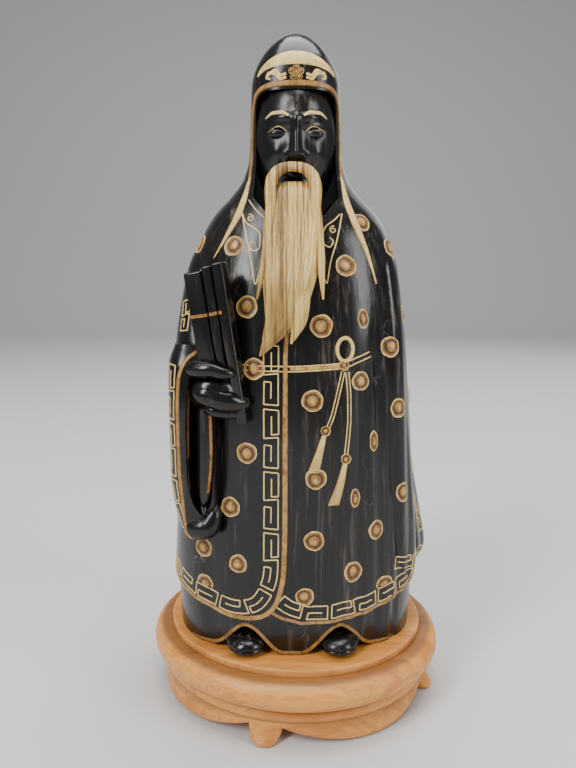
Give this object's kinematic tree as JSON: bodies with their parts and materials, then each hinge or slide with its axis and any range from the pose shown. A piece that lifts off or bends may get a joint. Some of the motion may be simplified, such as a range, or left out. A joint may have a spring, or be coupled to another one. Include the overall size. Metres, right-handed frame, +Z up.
{
  "type": "carved horn figure",
  "caption": "Robed, bearded elder carved from dark horn with pale engraving, holding a bundle of writing slips, on an oval wooden stand with short feet.",
  "frame": {"origin": "middle of the stand's outline, on the surface that the feet rest on", "axes": "+Z up, the figure faces -Y, its left hand is towards +X"},
  "size_m": [0.106, 0.0984, 0.2288],
  "materials": {
    "horn": "polished dark horn with pale horn showing where it is engraved",
    "wood": "satin light orange-brown wood"
  },
  "bodies": {
    "root": {"horn_figure": "horn", "wood_stand": "wood"}
  },
  "joints": []
}
